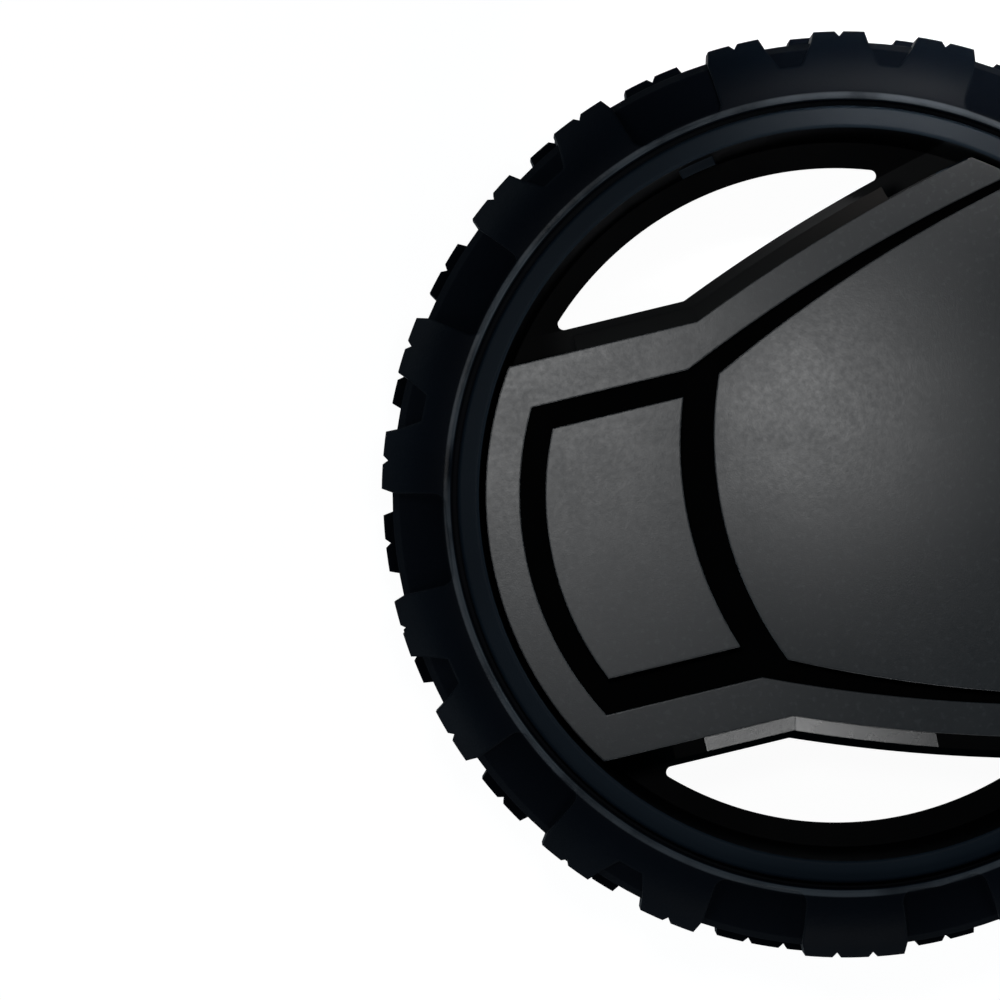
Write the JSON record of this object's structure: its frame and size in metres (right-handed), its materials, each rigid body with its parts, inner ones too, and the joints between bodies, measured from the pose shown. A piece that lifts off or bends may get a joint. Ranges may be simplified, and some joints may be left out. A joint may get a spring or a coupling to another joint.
{
  "type": "pressure washer wheel",
  "caption": "Transport wheel with a soft lugged tyre, a moulded rim with two through openings, a dark grey relief cover and a blind axle bore with a bush.",
  "frame": {"origin": "centre of the axle bore's mouth, in the wheel's rear plane", "axes": "+Z along the axle towards the covered front; the cover's arm points to -X, and its outline mirrors about the X axis"},
  "size_m": [0.198, 0.198, 0.046],
  "materials": {
    "tyre_rubber": "soft moulded rubber, satin, with a slight blue cast",
    "rim_plastic": "black moulded plastic, satin flange, matte inside",
    "cover_plastic": "dark grey, finely grained, matte, with black channels",
    "bush_plastic": "natural bearing plastic, smooth",
    "clip_steel": "spring steel, blank"
  },
  "bodies": {
    "root": {"tyre": "tyre_rubber", "wheel_body": "rim_plastic", "front_cover": "cover_plastic", "axle_bush": "bush_plastic", "retaining_clip": "clip_steel"}
  },
  "joints": []
}
